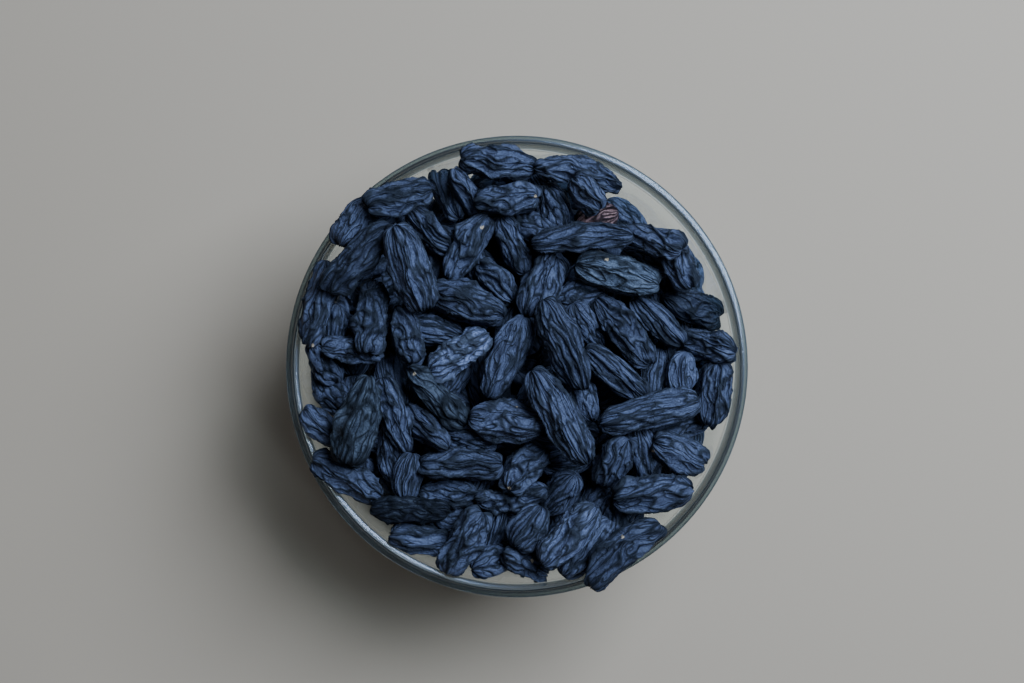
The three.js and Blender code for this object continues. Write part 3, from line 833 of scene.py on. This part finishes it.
def glass_material():
    """Clear glass. The wall bends the view only where it is seen edge on; the rim is darker too."""
    material = bpy.data.materials.new("clear_glass")
    material.use_nodes = True
    tree = material.node_tree
    shader = tree.nodes["Principled BSDF"]
    set_inputs(tree, shader, {
        "Base Color": BENT_COLOUR, "Roughness": GLASS_ROUGHNESS, "IOR": GLASS_IOR, "Transmission Weight": 1,
    })
    rim = rim_mask(tree)
    facing = tree.nodes.new("ShaderNodeLayerWeight").outputs["Facing"]
    rim_colour = mix_colours(tree, ramp(tree, facing, RIM_EDGE_SLOPE), RIM_COLOUR, RIM_EDGE_COLOUR)
    through = tree.nodes.new("ShaderNodeBsdfTransparent")
    set_inputs(tree, through, {"Color": mix_colours(tree, rim, WALL_COLOUR, rim_colour)})
    gloss = tree.nodes.new("ShaderNodeBsdfGlossy")
    set_inputs(tree, gloss, {
        "Color": mix_colours(tree, rim, WALL_MIRROR, RIM_MIRROR),
        "Roughness": maths(tree, "MULTIPLY_ADD", rim, RIM_BLUR, GLASS_ROUGHNESS),
    })
    fresnel = tree.nodes.new("ShaderNodeFresnel")
    set_inputs(tree, fresnel, {"IOR": maths(tree, "MULTIPLY_ADD", rim, RIM_MIRROR_IOR, MIRROR_IOR)})
    outside = maths(tree, "SUBTRACT", 1, tree.nodes.new("ShaderNodeNewGeometry").outputs["Backfacing"])
    mirrored = maths(tree, "MULTIPLY", fresnel.outputs["Fac"], outside)
    clear = mix_shaders(tree, mirrored, through.outputs["BSDF"], gloss.outputs["BSDF"])
    bending = tree.nodes.new("ShaderNodeMapRange")
    set_inputs(tree, bending, {
        "Value": facing, "From Min": BENDING_FROM, "From Max": BENDING_TO,
        "To Min": maths(tree, "MULTIPLY", rim, RIM_BENDING), "To Max": 1,
    })
    seen = maths(tree, "SUBTRACT", 1, tree.nodes.new("ShaderNodeLightPath").outputs["Is Shadow Ray"])
    bent_share = maths(tree, "MULTIPLY", bending.outputs["Result"], seen)
    bent = mix_shaders(tree, bent_share, clear, shader.outputs["BSDF"])
    gleam = tree.nodes.new("ShaderNodeBsdfTranslucent")
    set_inputs(tree, gleam, {"Color": GLEAM_COLOUR})
    gleam_share = maths(tree, "MULTIPLY", maths(tree, "MULTIPLY", rim, seen), GLEAM)
    glass = mix_shaders(tree, gleam_share, bent, gleam.outputs["BSDF"])
    set_inputs(tree, tree.nodes["Material Output"], {"Surface": glass})
    return material


# The bowl, floor, light and camera


def bowl_section():
    """The bowl's section, from the middle of the foot over the rim to the middle of the floor."""
    foot = [(0, FOOT_RECESS), (FOOT_INNER - FOOT_ROUND, FOOT_RECESS)]
    foot += [(FOOT_INNER - FOOT_ROUND * math.cos(t), FOOT_RECESS - FOOT_ROUND * math.sin(t))
             for t in np.linspace(*FOOT_ARC)]
    foot += [(FOOT_OUTER - FOOT_BEVEL[0], 0), (FOOT_OUTER, FOOT_BEVEL[1])]
    start, end, count = OUTSIDE
    outside = [wall_point(turn, WALL) for turn in np.linspace(start * DEGREE, end * DEGREE, count)]
    return foot + outside + rim_section() + inside_section(*INSIDE)


def build_bowl(material):
    shape = bmesh.new()
    points = [shape.verts.new((x * MM, 0, z * MM)) for x, z in bowl_section()]
    edges = [shape.edges.new(pair) for pair in zip(points, points[1:])]
    bmesh.ops.spin(shape, geom=points + edges, cent=(0, 0, 0), axis=(0, 0, 1), dvec=(0, 0, 0), angle=TURN,
                   steps=BOWL_SEGMENTS, use_merge=True, use_duplicate=False)
    bmesh.ops.remove_doubles(shape, verts=shape.verts, dist=WELD)
    bmesh.ops.recalc_face_normals(shape, faces=shape.faces)
    for face in shape.faces:
        face.smooth = True
    mesh = bpy.data.meshes.new("clear_bowl")
    shape.to_mesh(mesh)
    shape.free()
    mesh.materials.append(material)
    bowl = bpy.data.objects.new("clear_bowl", mesh)
    bpy.context.scene.collection.objects.link(bowl)
    return bowl


def build_floor():
    shape = bmesh.new()
    bmesh.ops.create_grid(shape, x_segments=1, y_segments=1, size=FLOOR_HALF_WIDTH)
    mesh = bpy.data.meshes.new("floor")
    shape.to_mesh(mesh)
    shape.free()
    material = bpy.data.materials.new("pale_floor")
    material.use_nodes = True
    set_inputs(material.node_tree, material.node_tree.nodes["Principled BSDF"],
               {"Base Color": FLOOR_COLOUR, "Roughness": FLOOR_ROUGHNESS})
    mesh.materials.append(material)
    floor = bpy.data.objects.new("floor", mesh)
    bpy.context.scene.collection.objects.link(floor)


def build_lamp():
    """A soft square light that faces the bowl."""
    lamp = bpy.data.lights.new("window", "AREA")
    lamp.size = LAMP_SIZE
    lamp.energy = LAMP_POWER
    lamp.color = LAMP_COLOUR
    light = bpy.data.objects.new("window", lamp)
    light.location = LAMP_PLACE
    light.rotation_euler = Vector(LAMP_PLACE).to_track_quat("Z", "Y").to_euler()
    bpy.context.scene.collection.objects.link(light)


def build_room():
    """Soft light from all sides: bluish and bright where the windows are, dim and warm on the other side."""
    world = bpy.data.worlds.new("soft_room")
    world.use_nodes = True
    tree = world.node_tree
    towards = tree.nodes.new("ShaderNodeTexCoord").outputs["Generated"]
    facing = vector_maths(tree, "DOT_PRODUCT", towards, Vector(WINDOWS).normalized()).node.outputs["Value"]
    share = ramp(tree, maths(tree, "MULTIPLY_ADD", facing, 0.5, 0.5), TOWARDS_WINDOWS)
    height = tree.nodes.new("ShaderNodeSeparateXYZ")
    feed(tree, height.inputs[0], towards)
    low = ramp(tree, height.outputs["Z"], ROOM_BY_HEIGHT)
    set_inputs(tree, tree.nodes["Background"], {
        "Color": mix_colours(tree, share, ROOM_ACROSS, ROOM_BY_WINDOWS),
        "Strength": maths(tree, "MULTIPLY", low, ROOM_STRENGTH),
    })
    bpy.context.scene.world = world


def build_camera():
    lens = bpy.data.cameras.new("camera")
    lens.lens = CAMERA_LENS
    lens.sensor_width = SENSOR_WIDTH
    camera = bpy.data.objects.new("camera", lens)
    camera.location = [value * MM for value in CAMERA_PLACE]
    bpy.context.scene.collection.objects.link(camera)
    bpy.context.scene.camera = camera


# The raisins of the crown and of the filling


def finish_raisins(piece, material, node):
    piece.data.materials.append(material)
    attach(piece, "root")
    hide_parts(node)


def build_crown(skins):
    for number in range(1, CROWN_COUNT + 1):
        node = f"crown_raisin_{number:02d}"
        style = next((name for name, members in CROWN_STYLES.items() if number in members), "folded")
        piece = skin_piece(
            f"wrinkled_raisin_{number:02d}", CROWN_FACES, [partial(crown_form, node)], [style],
            [CROWN_SEED + number], TONES_AND_PAINTED_LIGHT.get(number, 1), STALK_SCARS.get(number),
        )
        colour = "grey" if number in GREY_RAISINS else "brown" if number in BROWN_RAISINS else "navy"
        finish_raisins(piece, skins[colour], node)


def is_seen(raisin):
    """Whether a raisin of the filling shows through the glass or between the raisins of the crown."""
    from_axis = math.hypot(raisin["x"], raisin["y"])
    across = from_axis / (MOUTH_RADIUS - WALL_LAYER)
    down = (BEAD_MIDDLE[1] - raisin["z"]) / INSIDE_DEPTH
    return dome_height(from_axis) - raisin["z"] < SEEN_DEPTH or across ** 2 + down ** 2 > 1


def build_filling(skin):
    poured = pour_filling()
    under = [lay_down(settle(*place, long, wide, GENTLE_TILTS)) for *place, long, wide in UNDER_CROWN]
    seen = [raisin for raisin in poured if is_seen(raisin)]
    hidden = [raisin for raisin in poured if not is_seen(raisin)]
    half = len(seen) // 2
    groups = (
        ("raisins_below_crown", UNDER_FACES, under),
        ("raisins_low_in_bowl", WALL_FACES, seen[:half]),
        ("raisins_high_in_bowl", WALL_FACES, seen[half:]),
        ("raisins_inside_heap", INNER_FACES, hidden),
    )
    for row, (name, faces, members) in enumerate(groups):
        count = range(len(members))
        forms = [partial(poured_form, raisin) for raisin in members]
        styles = [FILLING_STYLES[i % len(FILLING_STYLES)] for i in count]
        seeds = [FILLING_SEED + SEEDS_APART * row + i for i in count]
        finish_raisins(skin_piece(name, faces, forms, styles, seeds), skin, "raisin_filling")


# Everything together

build_lamp()
build_room()
build_camera()
build_floor()
bowl = build_bowl(glass_material())
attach(bowl, "root")
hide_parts("glass_bowl")

skin_group = build_skin_group()
skins = {name: raisin_material(name, skin_group) for name in SKIN_COLOURS}
build_crown(skins)
build_filling(skins["navy"])
